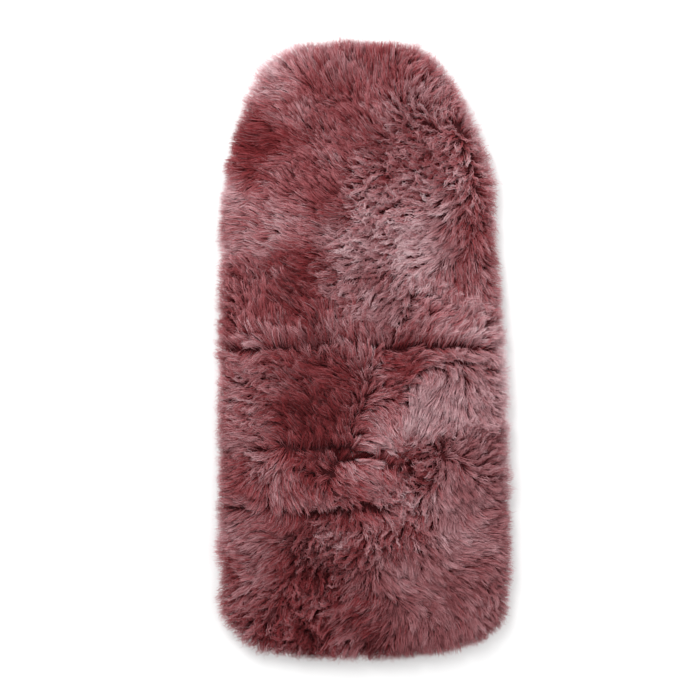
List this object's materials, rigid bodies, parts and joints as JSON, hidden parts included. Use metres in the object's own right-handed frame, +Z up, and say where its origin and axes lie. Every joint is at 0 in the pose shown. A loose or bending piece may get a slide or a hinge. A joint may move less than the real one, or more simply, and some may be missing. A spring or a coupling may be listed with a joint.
{
  "type": "sheepskin pushchair liner",
  "caption": "Long sheepskin pad for a pushchair seat, with a tapered head end, a slot for the crotch strap and two cross folds that bend it to the seat.",
  "frame": {"origin": "under the middle of the liner, on the surface that it lies on", "axes": "+X across the liner, +Y along it towards the head end, +Z up out of the wool"},
  "size_m": [0.374, 0.8, 0.0359],
  "materials": {
    "wool": "matt, long curled pile",
    "hide": "matt suede",
    "wadding": "matt",
    "lining": "matt plain weave",
    "binding": "matt twill tape"
  },
  "bodies": {
    "seat": {"seat_wool_pile": "wool", "seat_hide": "hide", "seat_wadding": "wadding", "seat_lining": "lining", "seat_edge_binding_left": "binding", "seat_edge_binding_right": "binding", "slot_facing": "binding", "back_fold_tape": "binding", "leg_fold_tape": "binding", "back_fold_wool": "wool", "leg_fold_wool": "wool"},
    "back": {"back_wool_pile": "wool", "back_hide": "hide", "back_wadding": "wadding", "back_lining": "lining", "back_edge_binding": "binding"},
    "leg": {"leg_wool_pile": "wool", "leg_hide": "hide", "leg_wadding": "wadding", "leg_lining": "lining", "leg_edge_binding": "binding"}
  },
  "joints": [
    {"name": "back_fold", "type": "hinge", "parent": "seat", "child": "back", "pos_m": [0, 0, 0.0066], "axis": [1, 0, 0], "range_deg": [0, 95], "deforming": ["back_fold_wool", "back_fold_tape"]},
    {"name": "leg_fold", "type": "hinge", "parent": "seat", "child": "leg", "pos_m": [0, -0.205, 0.0066], "axis": [-1, 0, 0], "range_deg": [-95, 95], "deforming": ["leg_fold_wool", "leg_fold_tape"]}
  ]
}
